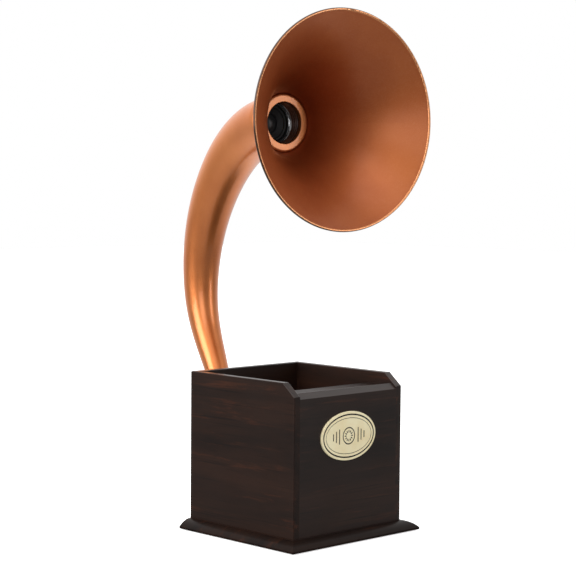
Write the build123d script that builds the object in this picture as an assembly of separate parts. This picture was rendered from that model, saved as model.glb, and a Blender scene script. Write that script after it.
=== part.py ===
from build123d import *
import math
import os

# Horn loudspeaker: a square wooden cabinet with a telephone ledge, and a swivelling
# external horn carried by a bracket on the cabinet's back.
# Millimetres. +Z is up, -Y is the front (name plate side), +X is the right-hand side.
# The cabinet's square is centred on X = Y = 0 and the base pad's underside is Z = 0.

# ---- Cabinet ----
cabinet_side = 150.0
half_side = cabinet_side / 2
board = 7.5
pad_thickness = 1.0
pad_inset = 6.0
plinth_top = 10.0
plinth_edge_top = 3.0
plinth_overhang = 14.2
plinth_shoulder = 2.5
plinth_bulge_radius = 22.0
cabinet_top = 159.3
side_cut_run = 15.5
side_cut_drop = 12.7
front_edge_height = 144.0
lip_height = 149.3
edge_round = 0.9
inner_half = half_side - board

# ---- Ledge, recess and groove ----
ledge_top = 147.0
ledge_thickness = 12.0
ledge_back = -35.0
groove_width = 90.0
groove_length = 10.5
groove_depth = 6.0
deck_top = 116.0
deck_thickness = 4.0
riser_thickness = 7.5

# ---- Name plate ----
badge_width = 76.0
badge_height = 48.0
badge_thickness = 1.6
badge_centre_x = -2.0
badge_centre_z = 103.5
badge_line = 1.5
badge_engraving = 0.5
badge_rays = 12
badge_pin_radius = 1.0
badge_pin_spread = 40.0
badge_pin_length = 6.0

# ---- Horn: swivel, neck and flare ----
swivel_y = 107.0
horn_yaw = -8.0
throat_reach = 100.9
throat_height = 408.8
throat_radius = 29.0
mouth_radius = 103.6
flare_depth = 100.6
flare_wall = 1.2
sleeve_length = 12.0
bead_radius = 1.4
neck_wall = 1.4
neck_foot_diameter = 13.4
neck_taper_bulge = 0.42
neck_start_length = 3.0
# (bend radius, bend angle in degrees) from the throat down to the straight slope
neck_bends = [(123.6, 41.5), (184.0, 19.5), (174.5, 29.0), (132.5, 27.2)]
foot_bend_radius = 110.0
neck_foot_height = 70.0
flange_thickness = 2.0
flange_rise = 2.6
flange_bore = 20.8
flange_shoulder = 2.4
flange_inner_round = 0.6

# ---- Bracket, swivel and thumbscrew ----
cup_radius = 13.5
cup_bottom = 60.0
cup_top = 86.0
cup_floor = 66.0
ferrule_radius = 9.0
running_clearance = 0.06
washer_thickness = 1.0
bracket_width = 44.0
bracket_bottom = 62.0
bracket_top = 118.0
bracket_plate = 5.0
arm_width = 15.0
bracket_hole_x = 15.0
bracket_hole_low = 70.0
bracket_hole_high = 106.0
bracket_screw_radius = 2.0
thumb_height = 76.0
thumb_stem_radius = 2.5
thumb_head_radius = 8.0
thumb_head_length = 6.0
thumb_boss_reach = 18.0
lead_hole_radius = 3.5

# ---- Driver, measured back from the throat's front plane ----
lining_wall = 1.8
lining_back = 18.5
lining_flange_front = 16.0
lining_flange_radius = 24.8
thread_pitch = 3.0
thread_rings = 4
thread_depth = 0.8
thread_half_width = 0.9
first_thread = -4.2
trim_front = 15.6
trim_back = 18.5
trim_bore = 19.0
gasket_back = 19.5
driver_flange_back = 21.0
driver_bore = 18.9
cone_radius = 15.5
surround_bore = 15.8
coil_radius = 5.7
driver_screw_circle = 23.4
driver_screw_radius = 0.8
driver_head_radius = 1.3

# ---- Rear controls ----
control_width = 104.0
control_height = 40.0
control_thickness = 1.5
control_z = 36.0
control_cut_width = 90.0
control_cut_height = 30.0
control_screw_x = 48.0
control_screw_z = 15.0
rocker_x = -32.0
rocker_reach = 9.0
rocker_width = 11.0
rocker_tilt = 10.0
rocker_pivot_y = 77.2
knob_x = 32.0
knob_radius = 9.5
knob_front = 79.0
knob_length = 13.0
charge_x = -6.0
audio_x = 11.0

# ---- Inside ----
block_size = 14.0
block_top = deck_top - deck_thickness
screw_inset = 60.0


def save(node, name):
    """Write one node as its own STEP file."""
    export_step(node, f"parts/{name}.step")


def cylinder_between(radius, start, end, axis, x=0.0, y=0.0, z=0.0):
    """A cylinder from start to end along a world axis, through (x, y, z)."""
    directions = {"X": (1, 0, 0), "Y": (0, 1, 0), "Z": (0, 0, 1)}
    origins = {"X": (start, y, z), "Y": (x, start, z), "Z": (x, y, start)}
    plane = Plane(origin=origins[axis], z_dir=directions[axis])
    return extrude(plane * Circle(radius), amount=end - start)


def block(x0, x1, y0, y1, z0, z1):
    """A rectangular block between two corners."""
    centre = ((x0 + x1) / 2, (y0 + y1) / 2, (z0 + z1) / 2)
    return Pos(*centre) * Box(x1 - x0, y1 - y0, z1 - z0)


def side_profile(points, x0, x1):
    """A (Y, Z) outline extruded from x0 to x1."""
    plane = Plane(origin=(x0, 0, 0), x_dir=(0, 1, 0), z_dir=(1, 0, 0))
    return extrude(plane * make_face(Polyline(*points, close=True)), amount=x1 - x0)


def ring(inner, outer, back, front):
    """A ring on the horn's axis; distances are forward of the throat plane."""
    face = Circle(outer) - Circle(inner)
    return extrude(Pos(0, 0, back) * face, amount=front - back)


def turned(points):
    """A (radius, forward distance) outline turned round the horn's axis."""
    profile = Plane.XZ * make_face(Polyline(*points, close=True))
    return revolve(profile, Axis.Z)


throat_plane = Plane(
    origin=(0, swivel_y - throat_reach, throat_height), x_dir=(1, 0, 0), z_dir=(0, -1, 0)
)
swivel_axis = Axis((0, swivel_y, 0), (0, 0, 1))


def swivelled(node):
    """Turn a piece of the straight-ahead horn to its resting direction."""
    return node.rotate(swivel_axis, horn_yaw)


def on_throat(node):
    """Move a piece built on the horn's own axis into place."""
    return swivelled(throat_plane.location * node)


os.makedirs("parts", exist_ok=True)

# ======== Cabinet ========


def plinth_outline(back_edge):
    """The plinth's section: flat top, convex bevel and thin lower edge at each overhang.

    With back_edge the far end is a plain upright face, flush with the cabinet's back.
    """
    reach = half_side + plinth_overhang
    shoulder = half_side + plinth_shoulder
    other_shoulder = -half_side if back_edge else -shoulder
    other_reach = -half_side if back_edge else -reach
    lines = [
        Line((shoulder, plinth_top), (other_shoulder, plinth_top)),
        Line((other_reach, plinth_edge_top), (other_reach, pad_thickness)),
        Line((other_reach, pad_thickness), (reach, pad_thickness)),
        Line((reach, pad_thickness), (reach, plinth_edge_top)),
        RadiusArc((reach, plinth_edge_top), (shoulder, plinth_top), -plinth_bulge_radius),
    ]
    if back_edge:
        lines.append(Line((other_shoulder, plinth_top), (other_reach, plinth_edge_top)))
    else:
        bevel = RadiusArc(
            (other_reach, plinth_edge_top), (other_shoulder, plinth_top), plinth_bulge_radius
        )
        lines.append(bevel)
    return make_face(lines)


long_run = 2 * (half_side + plinth_overhang)
across = extrude(Plane.XZ * plinth_outline(False), amount=long_run / 2, both=True)
fore_plane = Plane(origin=(-long_run / 2, 0, 0), x_dir=(0, -1, 0), z_dir=(-1, 0, 0))
fore_and_aft = extrude(fore_plane * plinth_outline(True), amount=-long_run)
plinth = across & fore_and_aft

screw_places = [(x, y) for x in (-screw_inset, screw_inset) for y in (-screw_inset, screw_inset)]
wood_screw_radius = 1.8
wood_screw_head_radius = 4.0
wood_screw_face = 1.6
screw_head_top = 4.0
for x, y in screw_places:
    plinth -= cylinder_between(
        wood_screw_head_radius + 0.2, pad_thickness, screw_head_top, "Z", x, y
    )
    plinth -= cylinder_between(wood_screw_radius, screw_head_top, plinth_top, "Z", x, y)
save(plinth, "plinth")

pad_reach = half_side + plinth_overhang - pad_inset
save(
    block(-pad_reach, pad_reach, -pad_reach, half_side - pad_inset, 0, pad_thickness),
    "base_pad",
)

plinth_screws = []
screw_tip = 30.0
cross_reach = 2.2
cross_half = 0.5
cross_floor = wood_screw_face + 1.2
for x, y in screw_places:
    head = cylinder_between(wood_screw_head_radius, wood_screw_face, screw_head_top, "Z", x, y)
    shank = cylinder_between(wood_screw_radius, screw_head_top, screw_tip, "Z", x, y)
    for reach_x, reach_y in ((cross_reach, cross_half), (cross_half, cross_reach)):
        head -= block(
            x - reach_x, x + reach_x, y - reach_y, y + reach_y, wood_screw_face, cross_floor
        )
    plinth_screws.append(head + shank)
save(Compound(children=plinth_screws), "plinth_screws")

side_outline = [
    (-half_side, plinth_top),
    (half_side, plinth_top),
    (half_side, cabinet_top),
    (-half_side + side_cut_run, cabinet_top),
    (-half_side, cabinet_top - side_cut_drop),
]
upright_middle = (plinth_top + cabinet_top) / 2
for name, x0 in (("left_panel", -half_side), ("right_panel", inner_half)):
    panel = side_profile(side_outline, x0, x0 + board)
    rounded = [
        edge
        for edge in panel.edges()
        if edge.center().Z > upright_middle + 2 * side_cut_drop
        or (edge.center().Z > plinth_top + 1 and abs(edge.center().X) > half_side - 1)
    ]
    panel = fillet(rounded, edge_round)
    save(panel, name)

lip_flat = 0.8
front_outline = [
    (-half_side, plinth_top),
    (-inner_half, plinth_top),
    (-inner_half, lip_height),
    (-inner_half - lip_flat, lip_height),
    (-half_side, front_edge_height),
]
front_panel = side_profile(front_outline, -inner_half, inner_half)
front_top_edges = front_panel.edges().filter_by(Axis.X).group_by(Axis.Z)[1:]
front_panel = fillet(front_top_edges[0] + front_top_edges[1], 0.35)
for side in (-1, 1):
    pin_x = badge_centre_x + side * badge_pin_spread / 2
    front_panel -= cylinder_between(
        badge_pin_radius, -half_side - 1, -half_side + badge_pin_length, "Y", pin_x, 0, badge_centre_z
    )
save(front_panel, "front_panel")

back_panel = block(-inner_half, inner_half, inner_half, half_side, plinth_top, cabinet_top)
back_top = back_panel.edges().filter_by(Axis.X).group_by(Axis.Z)[-1]
back_panel = fillet(back_top, edge_round)
back_panel -= block(
    -control_cut_width / 2,
    control_cut_width / 2,
    inner_half - 1,
    half_side + 1,
    control_z - control_cut_height / 2,
    control_z + control_cut_height / 2,
)
bracket_holes = [
    (x, z)
    for x in (-bracket_hole_x, bracket_hole_x)
    for z in (bracket_hole_low, bracket_hole_high)
]
for x, z in bracket_holes:
    back_panel -= cylinder_between(
        bracket_screw_radius, inner_half - 1, half_side + 1, "Y", x, 0, z
    )
back_panel -= cylinder_between(
    lead_hole_radius, inner_half - 1, half_side + 1, "Y", 0, 0, thumb_height
)
control_screws = [
    (x, control_z + z)
    for x in (-control_screw_x, control_screw_x)
    for z in (-control_screw_z, control_screw_z)
]
control_screw_depth = 5.0
control_screw_radius = 1.2
for x, z in control_screws:
    back_panel -= cylinder_between(
        control_screw_radius, half_side - control_screw_depth, half_side + 1, "Y", x, 0, z
    )
save(back_panel, "back_panel")

corner_blocks = []
for x in (-1, 1):
    for y in (-1, 1):
        outer_x, inner_x = x * inner_half, x * (inner_half - block_size)
        outer_y, inner_y = y * inner_half, y * (inner_half - block_size)
        piece = block(
            min(outer_x, inner_x),
            max(outer_x, inner_x),
            min(outer_y, inner_y),
            max(outer_y, inner_y),
            plinth_top,
            block_top,
        )
        pilot = cylinder_between(
            wood_screw_radius, plinth_top, screw_tip, "Z", x * screw_inset, y * screw_inset
        )
        corner_blocks.append(piece - pilot)
save(Compound(children=corner_blocks), "corner_blocks")

deck_panel = block(-inner_half, inner_half, -inner_half, inner_half, block_top, deck_top)
save(deck_panel, "deck_panel")

ledge_bottom = ledge_top - ledge_thickness
riser_panel = block(
    -inner_half, inner_half, ledge_back - riser_thickness, ledge_back, deck_top, ledge_bottom
)
save(riser_panel, "riser_panel")

ledge = block(-inner_half, inner_half, -inner_half, ledge_back, ledge_bottom, ledge_top)
ledge = fillet(ledge.edges().filter_by(Axis.X).group_by(Axis.Z)[-1].sort_by(Axis.Y)[-1], 1.2)
groove = block(
    -groove_width / 2,
    groove_width / 2,
    -inner_half,
    -inner_half + groove_length,
    ledge_top - groove_depth,
    ledge_top + 1,
)
save(ledge - groove, "telephone_ledge")

# ======== Name plate ========

badge_plane = Plane(
    origin=(badge_centre_x, -half_side, badge_centre_z), x_dir=(1, 0, 0), z_dir=(0, -1, 0)
)
half_badge_width = badge_width / 2
half_badge_height = badge_height / 2
badge_margin = 2.4
badge_inner_margin = 6.2
badge_inner_line = 0.6
rosette_radius = 8.6
rosette_line = 1.2


def badge_border(margin, line):
    """An oval line of the given width, inset from the plate's edge."""
    outer = Ellipse(half_badge_width - margin, half_badge_height - margin)
    return outer - Ellipse(half_badge_width - margin - line, half_badge_height - margin - line)


pattern = badge_border(badge_margin, badge_line)
pattern += badge_border(badge_inner_margin, badge_inner_line)
pattern += Circle(rosette_radius) - Circle(rosette_radius - rosette_line)
for index in range(badge_rays):
    angle = 360 / badge_rays * index
    ray = make_face(Polyline((2.6, 0), (4.4, 0.75), (6.4, 0), (4.4, -0.75), close=True))
    pattern += Rot(0, 0, angle) * ray
bars_each_side = 3
bar_width = 1.3
bar_pitch = 4.2
first_bar_x = 13.0
longest_bar = 15.0
bar_shortening = 4.0
for side in (-1, 1):
    for index in range(bars_each_side):
        bar_x = side * (first_bar_x + index * bar_pitch)
        bar_height = longest_bar - index * bar_shortening
        pattern += Pos(bar_x, 0) * RectangleRounded(bar_width, bar_height, 0.6)
name_plate = extrude(badge_plane * Ellipse(half_badge_width, half_badge_height), amount=badge_thickness)
name_plate = fillet(name_plate.edges().group_by(Axis.Y)[0], 0.5)
enamel_plane = badge_plane.offset(badge_thickness - badge_engraving)
engraving = extrude(enamel_plane * pattern, amount=badge_engraving)
enamel = extrude(enamel_plane * pattern, amount=badge_engraving * 0.8)
save(name_plate - engraving, "name_plate")
save(enamel, "name_plate_enamel")

name_plate_pins = []
for side in (-1, 1):
    pin_x = badge_centre_x + side * badge_pin_spread / 2
    pin = cylinder_between(
        badge_pin_radius, -half_side, -half_side + badge_pin_length, "Y", pin_x, 0, badge_centre_z
    )
    name_plate_pins.append(pin)
save(Compound(children=name_plate_pins), "name_plate_pins")

# ======== Neck ========


def neck_centreline():
    """The neck's straight runs and bends, from the throat to the foot, in the plane X = 0.

    Each run is (kind, start Y, start Z, heading in degrees, length or bend radius, turn).
    The heading is 0 pointing backwards and 90 pointing down.
    """
    runs = []
    y = swivel_y - throat_reach + flange_thickness
    z = throat_height
    heading = 0.0

    def add(size, turn):
        nonlocal y, z, heading
        runs.append((y, z, heading, size, turn))
        angle = math.radians(heading)
        if turn == 0:
            y += size * math.cos(angle)
            z -= size * math.sin(angle)
            return
        end = math.radians(heading + turn)
        sign = 1 if turn > 0 else -1
        y += sign * size * (math.sin(end) - math.sin(angle))
        z -= sign * size * (math.cos(angle) - math.cos(end))
        heading += turn

    add(neck_start_length, 0)
    for radius, turn in neck_bends:
        add(radius, turn)
    past_vertical = heading - 90
    slope = math.radians(past_vertical)
    bend_offset = foot_bend_radius * (1 - math.cos(slope))
    add((y - swivel_y - bend_offset) / math.sin(slope), 0)
    add(foot_bend_radius, -past_vertical)
    add(z - neck_foot_height, 0)
    return runs


def run_length(run):
    """Length along one straight run or bend."""
    size, turn = run[3], run[4]
    return size if turn == 0 else size * math.radians(abs(turn))


def along_run(run, distance):
    """Point and heading at a distance along one run."""
    y, z, heading, size, turn = run
    angle = math.radians(heading)
    if turn == 0:
        return y + distance * math.cos(angle), z - distance * math.sin(angle), heading
    sign = 1 if turn > 0 else -1
    new_heading = heading + sign * math.degrees(distance / size)
    end = math.radians(new_heading)
    y += sign * size * (math.sin(end) - math.sin(angle))
    z -= sign * size * (math.cos(angle) - math.cos(end))
    return y, z, new_heading


neck_runs = neck_centreline()
neck_length = sum(run_length(run) for run in neck_runs)
section_spacing = 26.0


def neck_diameter(distance):
    """Outside diameter at a distance from the throat: a taper that quickens to the foot."""
    part = distance / neck_length
    eased = part - neck_taper_bulge * part * (1 - part)
    return 2 * throat_radius + (neck_foot_diameter - 2 * throat_radius) * eased


def neck_solid(inset):
    """The neck's body between its two ends, inset from its outside."""
    sections = []
    travelled = 0.0
    for index, run in enumerate(neck_runs):
        length = run_length(run)
        steps = max(1, round(length / section_spacing))
        last = index == len(neck_runs) - 1
        for step in range(steps + 1 if last else steps):
            distance = length * step / steps
            y, z, heading = along_run(run, distance)
            angle = math.radians(heading)
            tangent = (0, math.cos(angle), -math.sin(angle))
            plane = Plane(origin=(0, y, z), x_dir=(1, 0, 0), z_dir=tangent)
            radius = neck_diameter(travelled + distance) / 2 - inset
            sections.append(plane * Circle(radius))
        travelled += length
    return loft(sections)


neck_outside = neck_solid(0.0)
neck_inside = neck_solid(neck_wall)
save(swivelled(neck_outside - neck_inside), "neck_pipe")

# ======== Flare ========


def flare_radius(forward):
    """Inside radius of the exponential flare at a distance forward of the throat plane."""
    growth = math.log(mouth_radius / throat_radius) / flare_depth
    return throat_radius * math.exp(growth * forward)


def flare_wall_point(forward, offset):
    """A point on the flare's wall, offset outwards at right angles to the inside surface."""
    growth = math.log(mouth_radius / throat_radius) / flare_depth
    slope = flare_radius(forward) * growth
    length = math.hypot(1, slope)
    return (flare_radius(forward) + offset / length, forward - offset * slope / length)


flare_steps = 8
inside_points = [flare_wall_point(flare_depth * i / flare_steps, 0) for i in range(flare_steps + 1)]
outside_points = [
    flare_wall_point(flare_depth * i / flare_steps, flare_wall) for i in range(flare_steps + 1)
]
sleeve_outer = throat_radius + flare_wall
flare_lines = [
    Line((throat_radius, -sleeve_length), (throat_radius, 0)),
    Spline(*inside_points),
    Line(inside_points[-1], outside_points[-1]),
    Spline(*reversed(outside_points)),
    Line(outside_points[0], (sleeve_outer, -2)),
    Line((sleeve_outer, -2), (sleeve_outer, -sleeve_length)),
    Line((sleeve_outer, -sleeve_length), (throat_radius, -sleeve_length)),
]
flare = revolve(Plane.XZ * make_face(flare_lines), Axis.Z)
edge_inside, edge_outside = inside_points[-1], outside_points[-1]
edge_middle = ((edge_inside[0] + edge_outside[0]) / 2, (edge_inside[1] + edge_outside[1]) / 2)
edge_angle = math.degrees(
    math.atan2(edge_inside[1] - edge_outside[1], edge_inside[0] - edge_outside[0])
)
bead_seat = 0.8
bead_section = Circle(bead_radius) - Pos(-bead_seat - bead_radius, 0) * Rectangle(
    2 * bead_radius, 3 * bead_radius
)
bead_outline = Pos(*edge_middle) * Rot(0, 0, edge_angle - 90) * Pos(bead_seat, 0) * bead_section
rim_bead = revolve(Plane.XZ * bead_outline, Axis.Z)
save(on_throat(flare), "flare")
save(on_throat(rim_bead), "rim_bead")

# ======== Throat and driver ========

throat_flange = ring(flange_bore, throat_radius, -flange_thickness, flange_rise)
flange_front = throat_flange.edges().group_by(Axis.Z)[-1].sort_by(SortBy.RADIUS)
throat_flange = fillet(flange_front[-1], flange_shoulder)
flange_front = throat_flange.edges().group_by(Axis.Z)[-1].sort_by(SortBy.RADIUS)
throat_flange = fillet(flange_front[0], flange_inner_round)
save(on_throat(throat_flange), "throat_flange")

lining = ring(flange_bore, flange_bore + lining_wall, -lining_back, -flange_thickness)
lining += ring(
    flange_bore + lining_wall, lining_flange_radius, -lining_back, -lining_flange_front
)
for index in range(thread_rings):
    centre = first_thread - index * thread_pitch
    lining += turned(
        [
            (flange_bore + 0.1, centre - thread_half_width),
            (flange_bore - thread_depth, centre),
            (flange_bore + 0.1, centre + thread_half_width),
        ]
    )
driver_screw_angles = [45 + 90 * index for index in range(4)]
driver_screw_places = [
    (
        driver_screw_circle * math.cos(math.radians(angle)),
        driver_screw_circle * math.sin(math.radians(angle)),
    )
    for angle in driver_screw_angles
]
driver_holes = [
    Pos(x, y, -driver_flange_back) * Cylinder(
        driver_screw_radius, 4.4, align=(Align.CENTER, Align.CENTER, Align.MIN)
    )
    for x, y in driver_screw_places
]
for hole in driver_holes:
    lining -= hole
save(on_throat(lining), "throat_lining")

trim_ring = turned(
    [
        (trim_bore, -trim_back),
        (trim_bore, -trim_back + 1.0),
        (trim_bore + 0.9, -trim_front),
        (flange_bore - 0.05, -trim_front),
        (flange_bore - 0.05, -trim_back),
    ]
)
save(on_throat(trim_ring), "trim_ring")

gasket = ring(trim_bore, lining_flange_radius, -gasket_back, -lining_back)
basket_back = 31.0
basket_wall = 1.2
basket_rim_radius = 21.4
basket_floor_radius = 13.6
magnet_radius = 14.0
magnet_bore = 7.6
basket = ring(driver_bore, lining_flange_radius, -driver_flange_back, -gasket_back)
basket += turned(
    [
        (basket_rim_radius, -driver_flange_back),
        (basket_rim_radius - 1.0, -driver_flange_back),
        (basket_floor_radius - 1.0, -basket_back + basket_wall),
        (magnet_bore, -basket_back + basket_wall),
        (magnet_bore, -basket_back),
        (basket_floor_radius, -basket_back),
    ]
)
window_count = 4
window_width = 12.0
window_radius = (basket_rim_radius + basket_floor_radius) / 2 - 0.9
window_middle = -(driver_flange_back + basket_back) / 2
for index in range(window_count):
    window = Pos(window_radius, 0, window_middle) * Box(9.0, window_width, 6.0)
    basket -= Rot(0, 0, 360 / window_count * index) * window
for hole in driver_holes:
    gasket -= hole
    basket -= hole
save(on_throat(gasket), "driver_gasket")
save(on_throat(basket), "driver_frame")

driver_screws = []
for x, y in driver_screw_places:
    shank = Pos(x, y, -driver_flange_back) * Cylinder(
        driver_screw_radius, 4.2, align=(Align.CENTER, Align.CENTER, Align.MIN)
    )
    head = Pos(x, y, -driver_flange_back) * Cylinder(
        driver_head_radius, 1.0, align=(Align.CENTER, Align.CENTER, Align.MAX)
    )
    driver_screws.append(on_throat(shank + head))
save(Compound(children=driver_screws), "driver_screws")

roll_radius = (driver_bore - surround_bore) / 2
roll_centre = (driver_bore + surround_bore) / 2
surround_level = -20.9
roll = Pos(roll_centre, surround_level) * (Circle(roll_radius) - Circle(roll_radius - 0.5))
roll_half = roll & (Pos(roll_centre, surround_level + 2) * Rectangle(2 * roll_radius + 1, 4))
save(on_throat(revolve(Plane.XZ * roll_half, Axis.Z)), "driver_surround")

coil_wall = 0.5
coil_back = -35.0
cone_front = -21.0
cone_neck = -27.7
cone = turned(
    [
        (cone_radius, cone_front),
        (cone_radius, cone_front - 0.6),
        (coil_radius, cone_neck - 0.7),
        (coil_radius, cone_neck),
    ]
)
save(on_throat(cone), "driver_cone")

cap_radius = 10.5
cap_base = -24.4
cap_sphere = 17.5
cap_wall = 0.5
cap_centre = cap_base - math.sqrt(cap_sphere**2 - cap_radius**2)
cap_shell = Pos(0, 0, cap_centre) * (Sphere(cap_sphere) - Sphere(cap_sphere - cap_wall))
cap_keep = Pos(0, 0, cap_base) * Cylinder(
    cap_radius, 6.0, align=(Align.CENTER, Align.CENTER, Align.MIN)
)
save(on_throat(cap_shell & cap_keep), "dust_cap")

voice_coil = ring(coil_radius - coil_wall, coil_radius, coil_back, cone_neck)
save(on_throat(voice_coil), "voice_coil")

spider_points = []
ripples = 3
spider_inner, spider_outer = coil_radius + 0.3, 12.2
spider_level = -29.0
spider_thickness = 0.4
for index in range(2 * ripples + 1):
    radius = spider_inner + (spider_outer - spider_inner) * index / (2 * ripples)
    rise = 0.3 if index % 2 else -0.2
    spider_points.append((radius, spider_level + rise))
spider_back = [(radius, level - spider_thickness) for radius, level in reversed(spider_points)]
save(on_throat(turned(spider_points + spider_back)), "driver_spider")

magnet_back = -40.0
yoke_thickness = 2.0
pole_length = 9.4
magnet = ring(magnet_bore, magnet_radius, magnet_back, -basket_back)
save(on_throat(magnet), "driver_magnet")
yoke = Pos(0, 0, magnet_back) * Cylinder(
    magnet_radius, yoke_thickness, align=(Align.CENTER, Align.CENTER, Align.MAX)
)
pole = Pos(0, 0, magnet_back) * Cylinder(
    coil_radius - 0.8, pole_length, align=(Align.CENTER, Align.CENTER, Align.MIN)
)
save(on_throat(yoke + pole), "driver_yoke")

# ======== Neck fittings ========

collar_back = -16.0
collar_band = 1.6
collar_slope = 2.0
collar_front = -6.0
collar_inner = throat_radius - 3.0
collar_points = [
    (collar_inner, collar_back),
    (sleeve_outer - 0.4, collar_back),
    (sleeve_outer + collar_band, collar_back + collar_slope),
    (sleeve_outer + collar_band, collar_front - collar_slope),
    (sleeve_outer, collar_front),
    (sleeve_outer, -sleeve_length),
    (collar_inner, -sleeve_length),
]
coupling_collar = (throat_plane.location * turned(collar_points)) - neck_outside
save(swivelled(coupling_collar), "coupling_collar")

washer_top = cup_top + washer_thickness
shoulder = washer_top + 0.05
ferrule_bore = 4.0
ferrule_shoulder_radius = 12.0
ferrule_body_radius = 10.4
ferrule_end = cup_floor + 1.0
ferrule_top = shoulder + 8.6
ferrule_points = [
    (ferrule_bore, ferrule_end),
    (ferrule_radius, ferrule_end),
    (ferrule_radius, shoulder),
    (ferrule_shoulder_radius, shoulder),
    (ferrule_shoulder_radius, shoulder + 2.4),
    (ferrule_body_radius, shoulder + 3.2),
    (ferrule_body_radius, ferrule_top - 1.6),
    (ferrule_radius + 0.2, ferrule_top),
    (ferrule_bore, ferrule_top),
]
ferrule = turned(ferrule_points)
ferrule = Pos(0, swivel_y, 0) * ferrule - neck_outside
save(swivelled(ferrule), "foot_ferrule")
washer_face = Circle(ferrule_shoulder_radius + 0.6) - Circle(ferrule_radius + 0.4)
washer = Pos(0, swivel_y, cup_top) * extrude(washer_face, amount=washer_thickness)
save(washer, "swivel_washer")

# ======== Bracket ========

plate_depth = half_side + bracket_plate
plate_outline = Plane(origin=(0, half_side, 0), x_dir=(1, 0, 0), z_dir=(0, -1, 0))
plate_face = Pos(0, (bracket_bottom + bracket_top) / 2) * RectangleRounded(
    bracket_width, bracket_top - bracket_bottom, 8.0
)
bracket = extrude(plate_outline * plate_face, amount=-bracket_plate)
bracket = fillet(bracket.edges().group_by(Axis.Y)[-1], 1.2)
arm_root_top = 100.0
arm_knee_height = 90.0
arm_margin = 3.0
arm_knee_reach = 6.0
cup_side = swivel_y - 8.0
arm_outline = [
    (plate_depth - 1, bracket_bottom + 4),
    (plate_depth - 1, arm_root_top),
    (plate_depth + arm_knee_reach, arm_knee_height),
    (cup_side, cup_top - arm_margin),
    (swivel_y, cup_top - arm_margin),
    (swivel_y, cup_bottom + arm_margin),
    (cup_side, cup_bottom + arm_margin),
]
arm = side_profile(arm_outline, -arm_width / 2, arm_width / 2)
arm = fillet(arm.edges().filter_by(Axis.X).group_by(Axis.Y)[1], 3.0)
cup = cylinder_between(cup_radius, cup_bottom, cup_top, "Z", 0, swivel_y)
cup = fillet(cup.edges().group_by(Axis.Z)[0], 3.0)
cup = chamfer(cup.edges().group_by(Axis.Z)[-1], 0.8)
boss_end = swivel_y + thumb_boss_reach
boss_radius = 5.5
boss = cylinder_between(boss_radius, swivel_y, boss_end, "Y", 0, 0, thumb_height)
bracket = bracket + arm + cup + boss
bracket -= cylinder_between(
    ferrule_radius + running_clearance, cup_floor, cup_top + 1, "Z", 0, swivel_y
)
bracket -= cylinder_between(
    thumb_stem_radius + running_clearance, swivel_y, boss_end + 1, "Y", 0, 0, thumb_height
)
bracket -= cylinder_between(
    lead_hole_radius, half_side - 1, swivel_y, "Y", 0, 0, thumb_height
)
countersink_radius = 4.0
countersink_depth = 2.0
for x, z in bracket_holes:
    bracket -= cylinder_between(bracket_screw_radius, half_side - 1, plate_depth + 1, "Y", x, 0, z)
    cone_plane = Plane(origin=(x, plate_depth, z), z_dir=(0, -1, 0))
    bracket -= loft(
        [
            cone_plane * Circle(countersink_radius),
            cone_plane.offset(countersink_depth) * Circle(bracket_screw_radius),
        ]
    )
save(bracket, "horn_bracket")

bracket_screws = []
nut_depth = 3.0
nut_radius = 3.6
for x, z in bracket_holes:
    cone_plane = Plane(origin=(x, plate_depth, z), z_dir=(0, -1, 0))
    head = loft(
        [
            cone_plane * Circle(countersink_radius),
            cone_plane.offset(countersink_depth) * Circle(bracket_screw_radius),
        ]
    )
    shank = cylinder_between(
        bracket_screw_radius, inner_half - nut_depth - 1, plate_depth - 1.0, "Y", x, 0, z
    )
    slot = block(x - 5, x + 5, plate_depth - 0.8, plate_depth + 1, z - 0.45, z + 0.45)
    nut_plane = Plane(origin=(x, inner_half, z), z_dir=(0, -1, 0))
    nut = extrude(nut_plane * RegularPolygon(nut_radius, 6), amount=nut_depth)
    bracket_screws.append(head + shank + nut - slot)
save(Compound(children=bracket_screws), "bracket_screws")

stem_tip = swivel_y + ferrule_radius + 0.3
head_start = boss_end + 0.4
thumbscrew = cylinder_between(thumb_stem_radius, stem_tip, head_start, "Y", 0, 0, thumb_height)
thumbscrew += cylinder_between(
    thumb_head_radius, head_start, head_start + thumb_head_length, "Y", 0, 0, thumb_height
)
thumb_front = thumbscrew.edges().filter_by(GeomType.CIRCLE).group_by(SortBy.RADIUS)[-1]
thumbscrew = fillet(thumb_front, 0.8)
knurl_count = 20
for index in range(knurl_count):
    angle = math.radians(360 / knurl_count * index)
    thumbscrew -= cylinder_between(
        0.7,
        head_start - 1,
        head_start + thumb_head_length + 1,
        "Y",
        (thumb_head_radius + 0.2) * math.cos(angle),
        0,
        thumb_height + (thumb_head_radius + 0.2) * math.sin(angle),
    )
save(thumbscrew, "thumbscrew")

# ======== Rear controls ========

control_plane = Plane(origin=(0, half_side, control_z), x_dir=(-1, 0, 0), z_dir=(0, 1, 0))
control_plate = extrude(
    control_plane * RectangleRounded(control_width, control_height, 4.0), amount=control_thickness
)
control_face = half_side + control_thickness
rocker_open = rocker_reach + 0.3
rocker_slot = rocker_width / 2 + 0.3
body_half_x = rocker_slot + 1.3
body_half_z = rocker_open + 1.7
control_plate -= block(
    rocker_x - body_half_x,
    rocker_x + body_half_x,
    half_side - 1,
    control_face + 1,
    control_z - body_half_z,
    control_z + body_half_z,
)
charge_half_x, charge_half_z = 5.6, 2.8
control_plate -= block(
    charge_x - charge_half_x,
    charge_x + charge_half_x,
    half_side - 1,
    control_face + 1,
    control_z - charge_half_z,
    control_z + charge_half_z,
)
audio_barrel = 4.0
bush_radius = 4.6
control_plate -= cylinder_between(
    audio_barrel, half_side - 1, control_face + 1, "Y", audio_x, 0, control_z
)
control_plate -= cylinder_between(
    bush_radius, half_side - 1, control_face + 1, "Y", knob_x, 0, control_z
)
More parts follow.
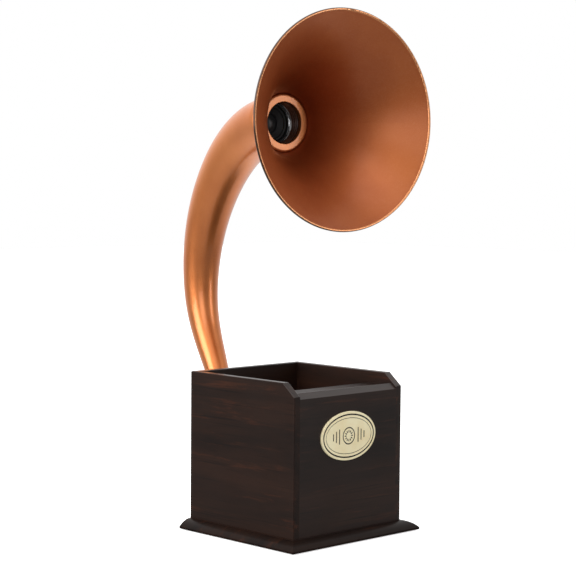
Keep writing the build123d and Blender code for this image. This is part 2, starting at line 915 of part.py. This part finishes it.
for x, z in control_screws:
    control_plate -= cylinder_between(control_screw_radius + 0.1, half_side - 1, control_face + 1, "Y", x, 0, z)
save(control_plate, "control_plate")

control_plate_screws = []
for x, z in control_screws:
    shank = cylinder_between(
        control_screw_radius, half_side - control_screw_depth, control_face, "Y", x, 0, z
    )
    head = cylinder_between(2.3, control_face, control_face + 1.2, "Y", x, 0, z)
    head = fillet(head.edges().group_by(Axis.Y)[-1], 0.7)
    slot = block(x - 1.5, x + 1.5, control_face + 0.7, control_face + 2, z - 0.3, z + 0.3)
    slot += block(x - 0.3, x + 0.3, control_face + 0.7, control_face + 2, z - 1.5, z + 1.5)
    control_plate_screws.append(shank + head - slot)
save(Compound(children=control_plate_screws), "control_plate_screws")

bezel_front = control_face + 1.8
bezel_margin = 1.6
body_back = 63.0
switch_body = block(
    rocker_x - body_half_x,
    rocker_x + body_half_x,
    body_back,
    control_face,
    control_z - body_half_z,
    control_z + body_half_z,
)
bezel = block(
    rocker_x - body_half_x - bezel_margin,
    rocker_x + body_half_x + bezel_margin,
    control_face,
    bezel_front,
    control_z - body_half_z - bezel_margin,
    control_z + body_half_z + bezel_margin,
)
bezel = fillet(bezel.edges().group_by(Axis.Y)[-1], 0.8)
cavity = cylinder_between(
    rocker_open, rocker_x - rocker_slot, rocker_x + rocker_slot, "X", 0, rocker_pivot_y, control_z
)
trunnion_radius = 1.2
trunnion_holes = cylinder_between(
    trunnion_radius + running_clearance,
    rocker_x - rocker_slot - 0.8,
    rocker_x + rocker_slot + 0.8,
    "X",
    0,
    rocker_pivot_y,
    control_z,
)
mouth = block(
    rocker_x - rocker_slot,
    rocker_x + rocker_slot,
    rocker_pivot_y,
    bezel_front + 1,
    control_z - rocker_open,
    control_z + rocker_open,
)
save(switch_body + bezel - cavity - mouth - trunnion_holes, "switch_body")

tilt_rise = math.tan(math.radians(rocker_tilt))
valley = 1.9
end_rise = valley + rocker_reach * tilt_rise
rocker_keep = side_profile(
    [
        (rocker_pivot_y - 5.0, control_z - rocker_reach - 1),
        (rocker_pivot_y + end_rise, control_z - rocker_reach),
        (rocker_pivot_y + valley, control_z),
        (rocker_pivot_y + end_rise, control_z + rocker_reach),
        (rocker_pivot_y - 5.0, control_z + rocker_reach + 1),
    ],
    rocker_x - rocker_width / 2,
    rocker_x + rocker_width / 2,
)
rocker_drum = cylinder_between(
    rocker_reach,
    rocker_x - rocker_width / 2,
    rocker_x + rocker_width / 2,
    "X",
    0,
    rocker_pivot_y,
    control_z,
)
trunnion_reach = rocker_slot + 0.6
trunnions = cylinder_between(
    trunnion_radius, rocker_x - trunnion_reach, rocker_x + trunnion_reach, "X", 0, rocker_pivot_y,
    control_z,
)
rocker = (rocker_keep & rocker_drum) + trunnions
rocker_axis = Axis((rocker_x, rocker_pivot_y, control_z), (1, 0, 0))
save(rocker.rotate(rocker_axis, -rocker_tilt), "rocker")

shaft_radius = 3.0
pot_body = cylinder_between(8.5, 64.0, half_side, "Y", knob_x, 0, control_z)
pot_bush = cylinder_between(bush_radius, half_side, knob_front - 0.6, "Y", knob_x, 0, control_z)
pot_bore = cylinder_between(
    shaft_radius + running_clearance, 70.0, knob_front, "Y", knob_x, 0, control_z
)
save(pot_body + pot_bush - pot_bore, "volume_control")

knob_end = knob_front + knob_length
knob = cylinder_between(knob_radius, knob_front, knob_end, "Y", knob_x, 0, control_z)
knob = fillet(knob.edges().group_by(Axis.Y)[-1], 1.2)
grip_count = 18
for index in range(grip_count):
    angle = math.radians(360 / grip_count * (index + 0.5))
    knob -= cylinder_between(
        0.7,
        knob_front + 2.0,
        knob_end - 1.6,
        "Y",
        knob_x + (knob_radius + 0.15) * math.cos(angle),
        0,
        control_z + (knob_radius + 0.15) * math.sin(angle),
    )
knob -= block(knob_x - 0.5, knob_x + 0.5, knob_end - 0.6, knob_end + 1, control_z + 3.5, control_z + 8.2)
knob += cylinder_between(shaft_radius, 71.0, knob_front, "Y", knob_x, 0, control_z)
save(knob, "volume_knob")

charge_plane = Plane(origin=(charge_x, control_face, control_z), x_dir=(-1, 0, 0), z_dir=(0, -1, 0))
charging_socket = extrude(charge_plane * RectangleRounded(11.0, 5.4, 2.4), amount=10.0)
charging_socket -= extrude(charge_plane * RectangleRounded(9.0, 3.2, 1.5), amount=7.0)
charging_socket += extrude(charge_plane.offset(2.0) * Rectangle(6.7, 0.7), amount=6.0)
save(charging_socket, "charging_socket")

audio_front = control_face + 1.2
audio_socket = cylinder_between(audio_barrel, 65.0, control_face, "Y", audio_x, 0, control_z)
audio_nut_plane = Plane(origin=(audio_x, control_face, control_z), z_dir=(0, 1, 0))
audio_socket += extrude(audio_nut_plane * RegularPolygon(5.2, 8), amount=audio_front - control_face)
audio_socket -= cylinder_between(1.8, 67.0, audio_front + 1, "Y", audio_x, 0, control_z)
save(audio_socket, "audio_socket")

# ======== Amplifier and battery, on the plinth ========

board_z = 18.0
board_thickness = 1.6
board_y0, board_y1 = 2.0, 52.0
board_half_x = 40.0
spacer_places = [(x, y) for x in (-35.0, 35.0) for y in (board_y0 + 5, board_y1 - 5)]
amplifier_board = block(
    -board_half_x, board_half_x, board_y0, board_y1, board_z, board_z + board_thickness
)
board_surface = board_z + board_thickness
for x, y in spacer_places:
    amplifier_board -= cylinder_between(1.5, board_z - 1, board_surface + 1, "Z", x, y)
save(amplifier_board, "amplifier_board")

small_screw_radius = 1.4
small_head_radius = 2.7
small_head_height = 1.8
board_spacers = []
board_screws = []
for x, y in spacer_places:
    outline = cylinder_between(3.2, plinth_top, board_z, "Z", x, y)
    thread = cylinder_between(small_screw_radius, plinth_top + 1, board_z, "Z", x, y)
    board_spacers.append(outline - thread)
    shank = cylinder_between(small_screw_radius, board_z - 5, board_surface, "Z", x, y)
    head_top = board_surface + small_head_height
    head = cylinder_between(small_head_radius, board_surface, head_top, "Z", x, y)
    board_screws.append(shank + head)
save(Compound(children=board_spacers), "board_spacers")
save(Compound(children=board_screws), "board_screws")

sink_half_width = 14.0
sink_y0, sink_y1 = 14.0, 34.0
sink_base = board_surface + 3.0
sink_top = board_surface + 14.0
fin_count = 6
fin_width = 1.6
fin_pitch = (2 * sink_half_width - fin_width) / (fin_count - 1)
heat_sink = block(
    -sink_half_width, sink_half_width, sink_y0, sink_y1, board_surface, sink_base
)
for index in range(fin_count):
    fin_x = -sink_half_width + index * fin_pitch
    heat_sink += block(fin_x, fin_x + fin_width, sink_y0, sink_y1, sink_base - 0.1, sink_top)
save(heat_sink, "heat_sink")

capacitors = []
can_radius = 5.0
capacitor_places = [(-28.0, 18.0), (-28.0, 32.0), (26.0, 18.0), (26.0, 32.0)]
for x, y in capacitor_places:
    can = cylinder_between(can_radius, board_surface, sink_top, "Z", x, y)
    capacitors.append(fillet(can.edges().group_by(Axis.Z)[-1], 0.8))
save(Compound(children=capacitors), "capacitors")

cell_radius = 9.2
cell_length = 66.0
pack_y = -30.0
cells = []
for side in (-1, 1):
    cell = cylinder_between(
        cell_radius, -cell_length / 2, cell_length / 2, "X", 0, pack_y + side * cell_radius,
        plinth_top + cell_radius,
    )
    cells.append(chamfer(cell.edges().filter_by(GeomType.CIRCLE), 0.6))
save(Compound(children=cells), "battery_cells")

strap_width = 16.0
strap_thickness = 1.2
strap_reach = 2 * cell_radius + strap_thickness
strap_top = plinth_top + 2 * cell_radius
low_y, high_y = pack_y - strap_reach, pack_y + strap_reach
foot_length = 9.0
strap_shape = [
    (low_y - foot_length, plinth_top),
    (low_y + strap_thickness, plinth_top),
    (low_y + strap_thickness, strap_top),
    (high_y - strap_thickness, strap_top),
    (high_y - strap_thickness, plinth_top),
    (high_y + foot_length, plinth_top),
    (high_y + foot_length, plinth_top + strap_thickness),
    (high_y, plinth_top + strap_thickness),
    (high_y, strap_top + strap_thickness),
    (low_y, strap_top + strap_thickness),
    (low_y, plinth_top + strap_thickness),
    (low_y - foot_length, plinth_top + strap_thickness),
]
strap = side_profile(strap_shape, -strap_width / 2, strap_width / 2)
strap_screws = []
for y in (low_y - foot_length / 2, high_y + foot_length / 2):
    strap_face = plinth_top + strap_thickness
    strap -= cylinder_between(small_screw_radius + 0.1, plinth_top - 1, strap_face + 1, "Z", 0, y)
    shank = cylinder_between(small_screw_radius, plinth_top, strap_face, "Z", 0, y)
    head = cylinder_between(
        small_head_radius, strap_face, strap_face + small_head_height, "Z", 0, y
    )
    strap_screws.append(shank + head)
save(strap, "battery_strap")
save(Compound(children=strap_screws), "strap_screws")
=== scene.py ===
import math

import bpy
from mathutils import Matrix, Vector

# Looks of the horn loudspeaker, in metres and in the CAD frame: +Z up, -Y the front.
# Every CAD node keeps its shape and gets a procedural material here.

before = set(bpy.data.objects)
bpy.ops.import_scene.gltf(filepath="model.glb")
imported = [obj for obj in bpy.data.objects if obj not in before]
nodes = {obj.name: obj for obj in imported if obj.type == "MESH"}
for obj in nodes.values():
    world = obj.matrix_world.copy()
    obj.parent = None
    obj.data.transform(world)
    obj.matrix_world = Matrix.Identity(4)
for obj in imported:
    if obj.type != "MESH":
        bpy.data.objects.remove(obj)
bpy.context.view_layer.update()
scene = bpy.context.scene

# ---- Sizes shared with the CAD ----
MM = 0.001
SWIVEL = Vector((0.0, 0.107, 0.0))
HORN_YAW = math.radians(-8.0)
THROAT_REACH = 0.1009
THROAT_HEIGHT = 0.4088
forward = Vector((math.sin(HORN_YAW), -math.cos(HORN_YAW), 0.0))
throat = SWIVEL + forward * THROAT_REACH + Vector((0, 0, THROAT_HEIGHT))


# ======== Small tools for building materials ========


class Shader:
    """A material's node tree, with short ways to add and join nodes."""

    def __init__(self, name):
        self.material = bpy.data.materials.new(name)
        self.material.use_nodes = True
        self.tree = self.material.node_tree
        self.tree.nodes.clear()
        self.out = self.tree.nodes.new("ShaderNodeOutputMaterial")
        self.surface = self.tree.nodes.new("ShaderNodeBsdfPrincipled")
        self.tree.links.new(self.surface.outputs[0], self.out.inputs[0])
        self.place = self.add("ShaderNodeTexCoord").outputs["Object"]

    def add(self, kind, **settings):
        made = self.tree.nodes.new(kind)
        for key, value in settings.items():
            setattr(made, key, value)
        return made

    def join(self, source, target):
        if isinstance(source, bpy.types.NodeSocket):
            self.tree.links.new(source, target)
        else:
            target.default_value = source

    def scaled(self, value, factor, offset, clamp=False):
        """value * factor + offset, clamped to 0-1 if asked."""
        made = self.add("ShaderNodeMath", operation="MULTIPLY_ADD", use_clamp=clamp)
        for index, part in enumerate((value, factor, offset)):
            self.join(part, made.inputs[index])
        return made.outputs[0]

    def mapping(self, scale=(1, 1, 1), location=(0, 0, 0)):
        made = self.add("ShaderNodeMapping")
        made.inputs["Scale"].default_value = scale
        made.inputs["Location"].default_value = location
        self.join(self.place, made.inputs["Vector"])
        return made.outputs[0]

    def noise(self, place, scale, detail=3.0, roughness=0.5, distortion=0.0):
        made = self.add("ShaderNodeTexNoise")
        self.join(place, made.inputs["Vector"])
        made.inputs["Scale"].default_value = scale
        made.inputs["Detail"].default_value = detail
        made.inputs["Roughness"].default_value = roughness
        made.inputs["Distortion"].default_value = distortion
        return made.outputs["Fac"]

    def ramp(self, factor, stops):
        made = self.add("ShaderNodeValToRGB")
        self.join(factor, made.inputs[0])
        elements = made.color_ramp.elements
        while len(elements) > 1:
            elements.remove(elements[-1])
        elements[0].position, elements[0].color = stops[0][0], colour(stops[0][1])
        for position, value in stops[1:]:
            elements.new(position).color = colour(value)
        return made.outputs[0]

    def mix(self, factor, a, b, blend="MIX"):
        made = self.add("ShaderNodeMix", data_type="RGBA", blend_type=blend)
        self.join(factor, made.inputs[0])
        self.join(colour(a), made.inputs[6])
        self.join(colour(b), made.inputs[7])
        return made.outputs[2]

    def bump(self, height, distance, strength=1.0, under=None):
        made = self.add("ShaderNodeBump")
        made.inputs["Strength"].default_value = strength
        made.inputs["Distance"].default_value = distance
        self.join(height, made.inputs["Height"])
        if under is not None:
            self.join(under, made.inputs["Normal"])
        return made.outputs[0]

    def finish(self, **sockets):
        for name, value in sockets.items():
            self.join(value, self.surface.inputs[name.replace("_", " ")])
        return self.material


def colour(value):
    """A grey level or an RGB triple as RGBA; a socket stays as it is."""
    if isinstance(value, bpy.types.NodeSocket):
        return value
    if isinstance(value, (int, float)):
        return (value, value, value, 1.0)
    return (*value, 1.0) if len(value) == 3 else value


def dress(material, *names):
    """Give CAD nodes a material in all their slots."""
    for name in names:
        mesh = nodes[name].data
        if not mesh.materials:
            mesh.materials.append(material)
        for index in range(len(mesh.materials)):
            mesh.materials[index] = material


# ======== Materials ========


def axis_distance(shader):
    """Distance forward of the throat plane, along the horn's axis."""
    dot = shader.add("ShaderNodeVectorMath", operation="DOT_PRODUCT")
    shader.join(shader.place, dot.inputs[0])
    dot.inputs[1].default_value = forward
    return shader.scaled(dot.outputs["Value"], 1.0, -throat.dot(forward))


def axis_radius(shader):
    """Distance out from the horn's axis."""
    offset = shader.add("ShaderNodeVectorMath", operation="SUBTRACT")
    shader.join(shader.place, offset.inputs[0])
    offset.inputs[1].default_value = throat
    cross = shader.add("ShaderNodeVectorMath", operation="CROSS_PRODUCT")
    shader.join(offset.outputs[0], cross.inputs[0])
    cross.inputs[1].default_value = forward
    length = shader.add("ShaderNodeVectorMath", operation="LENGTH")
    shader.join(cross.outputs[0], length.inputs[0])
    return length.outputs["Value"]


EDGE_FADE = 1.2 * MM
THROAT_FADE = 34.0 * MM
# RIM_SHADOW paints shadow on the rim's outer side; THROAT_PAINTED_SHADE paints shade deep in the
# bell towards the throat.
RIM_SHADOW = (0.030, 0.010, 0.005)
THROAT_PAINTED_SHADE = (0.72, 0.56, 0.52)
FLAKE_GLINT = (0.92, 0.50, 0.24)


def copper_paint(
    name,
    deep=(0.345, 0.077, 0.015),
    warm=(0.46, 0.125, 0.030),
    rough=0.47,
    coat=0.5,
    coat_rough=0.10,
    spun=0.0,
    dark_beyond=None,
    dark_within=None,
):
    """Metallic copper paint under clear lacquer, clouded between a deep and a warm colour.

    spun adds fine turning lines. Beyond the radius dark_beyond the colour darkens as a painted
    shadow on the rim's outer side, and within the radius dark_within as painted shade deep in the
    bell, both measured out from the horn's axis.
    """
    s = Shader(name)
    cloud = s.noise(s.place, 9.0, detail=4.0, roughness=0.55)
    flakes = s.noise(s.place, 2600.0, detail=1.0)
    base = s.mix(s.ramp(cloud, [(0.35, 0.0), (0.68, 1.0)]), deep, warm)
    base = s.mix(s.ramp(flakes, [(0.60, 0.0), (0.72, 0.30)]), base, FLAKE_GLINT)
    # Painted shadow: the rim bead darkens to near black beyond dark_beyond.
    if dark_beyond:
        outside = s.scaled(axis_radius(s), 1.0 / EDGE_FADE, -dark_beyond / EDGE_FADE, clamp=True)
        base = s.mix(outside, base, RIM_SHADOW)
    # Painted shade: the bell's colour darkens towards the throat, within dark_within.
    if dark_within:
        near = s.scaled(axis_radius(s), -1.0 / THROAT_FADE, dark_within / THROAT_FADE, clamp=True)
        base = s.mix(near, base, THROAT_PAINTED_SHADE, blend="MULTIPLY")
    smudge = s.noise(s.place, 34.0, detail=5.0, roughness=0.6)
    roughness = s.scaled(smudge, 0.10, rough - 0.05)
    peel = s.noise(s.place, 420.0, detail=2.0)
    normal = s.bump(peel, 0.00006, 0.5)
    normal = s.bump(flakes, 0.00002, 0.5, normal)
    if spun:
        along = axis_distance(s)
        rings = s.add("ShaderNodeTexNoise", noise_dimensions="1D")
        s.join(along, rings.inputs["W"])
        rings.inputs["Scale"].default_value = 260.0
        rings.inputs["Detail"].default_value = 4.0
        normal = s.bump(rings.outputs["Fac"], 0.0004, spun, normal)
    return s.finish(
        Base_Color=base,
        Metallic=0.82,
        Roughness=roughness,
        Normal=normal,
        Coat_Weight=coat,
        Coat_Roughness=coat_rough,
        Coat_IOR=1.5,
    )


GRAIN_ALONG = 2.4
GRAIN_ACROSS = 30.0
PORES_ALONG = 9.0
PORES_ACROSS = 620.0
STREAK_FINENESS = 2.2
PORE_SHADOW = (0.004, 0.002, 0.0015)


def stretched(along, low, high):
    """A scale that is low along one named axis and high across it."""
    return tuple(low if axis == along else high for axis in "XYZ")


def lacquered_wood(name, along="X", painted_light_tint=1.0, seed=0.0, rough=0.30, coat=0.22):
    """Very dark wood under satin lacquer. The grain runs along one axis."""
    s = Shader(name)
    stretch = stretched(along, GRAIN_ALONG, GRAIN_ACROSS)
    shift = (seed, seed * 1.7, seed * 0.6)
    grain_place = s.mapping(scale=stretch, location=shift)
    bands = s.noise(grain_place, 1.0, detail=5.0, roughness=0.62, distortion=0.6)
    streak_place = s.mapping(scale=tuple(v * STREAK_FINENESS for v in stretch), location=shift)
    streaks = s.noise(streak_place, 1.6, detail=6.0, roughness=0.7, distortion=0.25)
    pore_scale = stretched(along, PORES_ALONG, PORES_ACROSS)
    pores = s.noise(s.mapping(scale=pore_scale, location=shift), 1.0, detail=2.0, roughness=0.5)
    # painted_light_tint scales the wood's colour for one part: above 1 it paints light, below 1
    # it paints shade.
    dark = tuple(v * painted_light_tint for v in (0.0085, 0.0040, 0.0028))
    brown = tuple(v * painted_light_tint for v in (0.024, 0.0098, 0.0056))
    rust = tuple(v * painted_light_tint for v in (0.066, 0.020, 0.0085))
    base = s.mix(s.ramp(bands, [(0.34, 0.0), (0.70, 1.0)]), dark, brown)
    base = s.mix(s.ramp(streaks, [(0.56, 0.0), (0.74, 0.75)]), base, rust)
    base = s.mix(s.ramp(pores, [(0.60, 0.0), (0.70, 0.7)]), base, PORE_SHADOW)
    haze = s.noise(s.place, 22.0, detail=4.0)
    roughness = s.scaled(haze, 0.12, rough)
    normal = s.bump(pores, 0.00004, 0.35)
    normal = s.bump(streaks, 0.0001, 0.10, normal)
    return s.finish(
        Base_Color=base,
        Roughness=roughness,
        Normal=normal,
        Coat_Weight=coat,
        Coat_Roughness=0.10,
        Specular_IOR_Level=coat,
    )


def metal(name, pale, deep, rough=0.3, lines=None, metallic=1.0):
    """Metal with slight tarnish, brushed along the axis that lines names, if any."""
    s = Shader(name)
    tarnish = s.noise(s.place, 60.0, detail=5.0, roughness=0.6)
    base = s.mix(s.ramp(tarnish, [(0.35, 0.0), (0.70, 1.0)]), pale, deep)
    brush = s.noise(s.mapping(scale=stretched(lines, 0.03, 1.0)), 900.0, detail=3.0)
    roughness = s.scaled(brush, 0.22, rough - 0.08)
    normal = s.bump(brush, 0.00003, 0.35)
    return s.finish(Base_Color=base, Metallic=metallic, Roughness=roughness, Normal=normal)


def moulded(name, shade, rough=0.45, grain=900.0, depth=0.00005, specular=0.5):
    """Moulded plastic, rubber or paint with a fine surface texture and slight colour drift."""
    s = Shader(name)
    drift = s.noise(s.place, 40.0, detail=4.0)
    lighter = tuple(min(1.0, v * 1.35 + 0.004) for v in shade)
    base = s.mix(s.ramp(drift, [(0.3, 0.0), (0.75, 1.0)]), shade, lighter)
    texture = s.noise(s.place, grain, detail=2.0)
    roughness = s.scaled(texture, 0.14, rough - 0.07)
    normal = s.bump(texture, depth, 0.6)
    return s.finish(
        Base_Color=base, Roughness=roughness, Normal=normal, Specular_IOR_Level=specular
    )


# The copper parts share one copper paint, in lit and shaded copies. The flare's colour is the
# darkest, painted shade inside the bell, and darkens further towards the throat.
dress(
    copper_paint(
        "copper_flare", coat=0.35, coat_rough=0.26, spun=0.12, dark_within=66.0 * MM
    ),
    "flare",
)
# The neck and collar get a lighter copy of the copper: painted light on the lit pipe.
dress(
    copper_paint("copper_neck", deep=(0.58, 0.165, 0.042), warm=(0.76, 0.255, 0.076), rough=0.35),
    "neck_pipe", "coupling_collar",
)
# The flange and ferrule get a lighter copy of the copper: painted light on the forward-facing
# flange.
dress(
    copper_paint("copper_trim", deep=(0.40, 0.125, 0.036), warm=(0.50, 0.170, 0.052), rough=0.34),
    "throat_flange", "foot_ferrule",
)
# The rim bead gets the lightest copy, a painted highlight on its front edge, and a painted shadow
# on its outer side.
dress(
    copper_paint(
        "copper_rim",
        deep=(0.62, 0.24, 0.09),
        warm=(0.75, 0.33, 0.14),
        rough=0.24,
        dark_beyond=104.5 * MM,
    ),
    "rim_bead",
)
# All the wood is one wood in lit and shaded copies. Painted shade makes the plinth much darker
# and the left panel and recess panels darker; painted light makes the right panel and ledge
# lighter.
dress(lacquered_wood("wood_front", "X", seed=0.31), "front_panel")
dress(lacquered_wood("wood_back", "X", seed=2.7), "back_panel")
dress(lacquered_wood("wood_left", "Y", painted_light_tint=0.9, seed=1.3, coat=0.15), "left_panel")
dress(lacquered_wood("wood_right", "Y", painted_light_tint=1.1, seed=4.1), "right_panel")
dress(lacquered_wood("wood_plinth", "X", painted_light_tint=0.65, seed=5.2, coat=0.06), "plinth")
dress(
    lacquered_wood("wood_ledge", "X", painted_light_tint=1.1, seed=6.6, rough=0.42, coat=0.06),
    "telephone_ledge",
)
dress(lacquered_wood("wood_recess", "X", painted_light_tint=0.9, seed=7.7), "deck_panel", "riser_panel")

dress(
    metal(
        "plate_brass",
        (1.0, 0.90, 0.60),
        (0.94, 0.80, 0.48),
        rough=0.40,
        lines="X",
        metallic=0.30,
    ),
    "name_plate",
)
dress(moulded("plate_enamel", (0.012, 0.010, 0.008), rough=0.25), "name_plate_enamel")
dress(
    metal("yellow_brass", (0.78, 0.58, 0.28), (0.60, 0.42, 0.18), rough=0.28),
    "name_plate_pins", "swivel_washer", "bracket_screws", "control_plate_screws", "audio_socket",
    "thumbscrew",
)
dress(
    metal("control_brass", (0.80, 0.62, 0.34), (0.66, 0.48, 0.24), rough=0.34, lines="X"),
    "control_plate",
)
dress(
    metal("plain_steel", (0.62, 0.62, 0.62), (0.45, 0.45, 0.46), rough=0.32),
    "plinth_screws", "volume_control", "charging_socket", "board_screws", "battery_strap",
    "strap_screws", "driver_screws", "driver_yoke",
)
dress(
    metal("capacitor_metal", (0.72, 0.72, 0.74), (0.6, 0.6, 0.62), rough=0.3),
    "heat_sink", "capacitors",
)
dress(metal("chrome", (0.86, 0.86, 0.87), (0.74, 0.74, 0.76), rough=0.14), "trim_ring")
dress(metal("coil_copper", (0.75, 0.36, 0.16), (0.62, 0.26, 0.10), rough=0.3), "voice_coil")
dress(
    moulded("bracket_black", (0.022, 0.020, 0.019), rough=0.38, grain=500.0, depth=0.0002),
    "horn_bracket",
)
dress(
    moulded("black_lining", (0.030, 0.015, 0.009), rough=0.17, depth=0.00002, specular=0.9),
    "throat_lining",
)
dress(moulded("frame_black", (0.010, 0.0095, 0.009), rough=0.4), "driver_frame")
dress(
    moulded("black_rubber", (0.012, 0.012, 0.012), rough=0.6),
    "driver_gasket", "driver_surround",
)
dress(
    moulded("cone_paper", (0.010, 0.010, 0.011), rough=0.62, grain=1400.0, depth=0.0001),
    "driver_cone",
)
dress(moulded("cap_black", (0.012, 0.012, 0.013), rough=0.3), "dust_cap")
dress(moulded("ferrite", (0.035, 0.034, 0.036), rough=0.55, grain=600.0), "driver_magnet")
dress(
    moulded("spider_cloth", (0.46, 0.30, 0.11), rough=0.75, grain=1800.0, depth=0.0002),
    "driver_spider",
)
dress(moulded("switch_plastic", (0.016, 0.016, 0.016), rough=0.5), "switch_body")
dress(moulded("rocker_plastic", (0.014, 0.014, 0.014), rough=0.3), "rocker")
dress(moulded("knob_plastic", (0.018, 0.017, 0.016), rough=0.36), "volume_knob")
dress(moulded("board_green", (0.010, 0.085, 0.035), rough=0.4), "amplifier_board")
dress(moulded("spacer_plastic", (0.62, 0.61, 0.56), rough=0.5), "board_spacers")
dress(moulded("cell_wrap", (0.025, 0.12, 0.36), rough=0.3), "battery_cells")
dress(moulded("bare_wood", (0.46, 0.30, 0.16), rough=0.7, grain=260.0), "corner_blocks")
dress(
    moulded("base_rubber", (0.016, 0.015, 0.015), rough=0.75, grain=700.0, depth=0.0002),
    "base_pad",
)


# ======== Floor, lights and camera ========


LIGHT_TARGET = Vector((0.0, 0.0, 0.25))


def area_light(name, place, width, height, power):
    """A soft white rectangular light aimed at the object's middle."""
    data = bpy.data.lights.new(name, "AREA")
    data.shape = "RECTANGLE"
    data.size = width
    data.size_y = height
    data.energy = power
    lamp = bpy.data.objects.new(name, data)
    scene.collection.objects.link(lamp)
    lamp.location = place
    aim = LIGHT_TARGET - Vector(place)
    lamp.rotation_mode = "QUATERNION"
    lamp.rotation_quaternion = aim.to_track_quat("-Z", "Y")


# The floor glows so that it stays pale. It is kept out of bounce light and reflections,
# where its glow would grey the dark wood.
floor_mesh = bpy.data.meshes.new("floor")
reach = 6.0
corners = [(-reach, -reach, 0), (reach, -reach, 0), (reach, reach, 0), (-reach, reach, 0)]
floor_mesh.from_pydata(corners, [], [(0, 1, 2, 3)])
floor = bpy.data.objects.new("floor", floor_mesh)
floor.location.z = -0.2 * MM
scene.collection.objects.link(floor)
floor_shader = Shader("pale_floor")
speckle = floor_shader.noise(floor_shader.place, 3.0, detail=2.0)
floor_mesh.materials.append(
    floor_shader.finish(
        Base_Color=floor_shader.mix(speckle, (0.86, 0.86, 0.86), (0.90, 0.90, 0.90)),
        Roughness=0.9,
        Specular_IOR_Level=0.1,
        Emission_Color=(1.0, 1.0, 1.0, 1.0),
        Emission_Strength=0.66,
    )
)
floor.visible_diffuse = False
floor.visible_glossy = False

# The room: brighter overhead, below (as a pale table would light it) and behind the
# object. The camera itself sees plain white.
AWAY_FROM_CAMERA = (0.694, 0.717, 0.0)
world = bpy.data.worlds.new("studio")
scene.world = world
world.use_nodes = True
sky = world.node_tree
sky.nodes.clear()
sky_out = sky.nodes.new("ShaderNodeOutputWorld")
direction = sky.nodes.new("ShaderNodeTexCoord").outputs["Generated"]
height = sky.nodes.new("ShaderNodeSeparateXYZ")
sky.links.new(direction, height.inputs[0])


def sky_range(source, low, high, at_low, at_high):
    """Brightness that goes smoothly from at_low to at_high as the source rises."""
    made = sky.nodes.new("ShaderNodeMapRange")
    made.interpolation_type = "SMOOTHSTEP"
    for name, value in zip(
        ("From Min", "From Max", "To Min", "To Max"), (low, high, at_low, at_high)
    ):
        made.inputs[name].default_value = value
    sky.links.new(source, made.inputs["Value"])
    return made.outputs["Result"]


behind = sky.nodes.new("ShaderNodeVectorMath")
behind.operation = "DOT_PRODUCT"
behind.inputs[1].default_value = AWAY_FROM_CAMERA
sky.links.new(direction, behind.inputs[0])
rise = height.outputs["Z"]
overhead = sky_range(rise, low=-0.1, high=1.0, at_low=0.26, at_high=1.05)
below = sky_range(rise, low=-0.8, high=-0.15, at_low=0.50, at_high=0.0)
glow = sky_range(behind.outputs["Value"], low=-0.1, high=0.9, at_low=0.0, at_high=0.85)
dome = sky.nodes.new("ShaderNodeMath")
sky.links.new(overhead, dome.inputs[0])
sky.links.new(below, dome.inputs[1])
light_sum = sky.nodes.new("ShaderNodeMath")
sky.links.new(dome.outputs[0], light_sum.inputs[0])
sky.links.new(glow, light_sum.inputs[1])
room = sky.nodes.new("ShaderNodeBackground")
sky.links.new(light_sum.outputs[0], room.inputs["Strength"])
backdrop = sky.nodes.new("ShaderNodeBackground")
backdrop.inputs["Color"].default_value = (1.0, 1.0, 1.0, 1.0)
backdrop.inputs["Strength"].default_value = 1.0
rays = sky.nodes.new("ShaderNodeLightPath")
choose = sky.nodes.new("ShaderNodeMixShader")
sky.links.new(rays.outputs["Is Camera Ray"], choose.inputs[0])
sky.links.new(room.outputs[0], choose.inputs[1])
sky.links.new(backdrop.outputs[0], choose.inputs[2])
sky.links.new(choose.outputs[0], sky_out.inputs[0])

area_light("key_left", (-1.85, 0.45, 1.20), width=1.6, height=2.3, power=58.0)
area_light("near_camera", (-1.45, -1.35, 0.65), width=1.1, height=1.1, power=7.0)
area_light("fill_front", (1.0, -1.85, 0.55), width=0.55, height=1.3, power=7.0)
area_light("top", (-0.5, -0.6, 2.0), width=1.5, height=1.5, power=9.0)

CAMERA_PLACE = Vector((-1.1934, -1.2206, 0.3484))
CAMERA_AZIMUTH = math.radians(-44.06)
CAMERA_ELEVATION = math.radians(3.50)
CAMERA_ROLL = math.radians(0.46)
CAMERA_LENS = 106.5
back = Vector(
    (
        math.sin(CAMERA_AZIMUTH) * math.cos(CAMERA_ELEVATION),
        -math.cos(CAMERA_AZIMUTH) * math.cos(CAMERA_ELEVATION),
        math.sin(CAMERA_ELEVATION),
    )
)
right = Vector((math.cos(CAMERA_AZIMUTH), math.sin(CAMERA_AZIMUTH), 0.0))
up = back.cross(right)
rolled_right = right * math.cos(CAMERA_ROLL) + up * math.sin(CAMERA_ROLL)
rolled_up = up * math.cos(CAMERA_ROLL) - right * math.sin(CAMERA_ROLL)
camera_data = bpy.data.cameras.new("camera")
camera_data.sensor_width = 36.0
camera_data.lens = CAMERA_LENS
camera = bpy.data.objects.new("camera", camera_data)
scene.collection.objects.link(camera)
turn = Matrix((rolled_right, rolled_up, back)).transposed()
camera.matrix_world = Matrix.Translation(CAMERA_PLACE) @ turn.to_4x4()
scene.camera = camera
scene.view_settings.view_transform = "Standard"
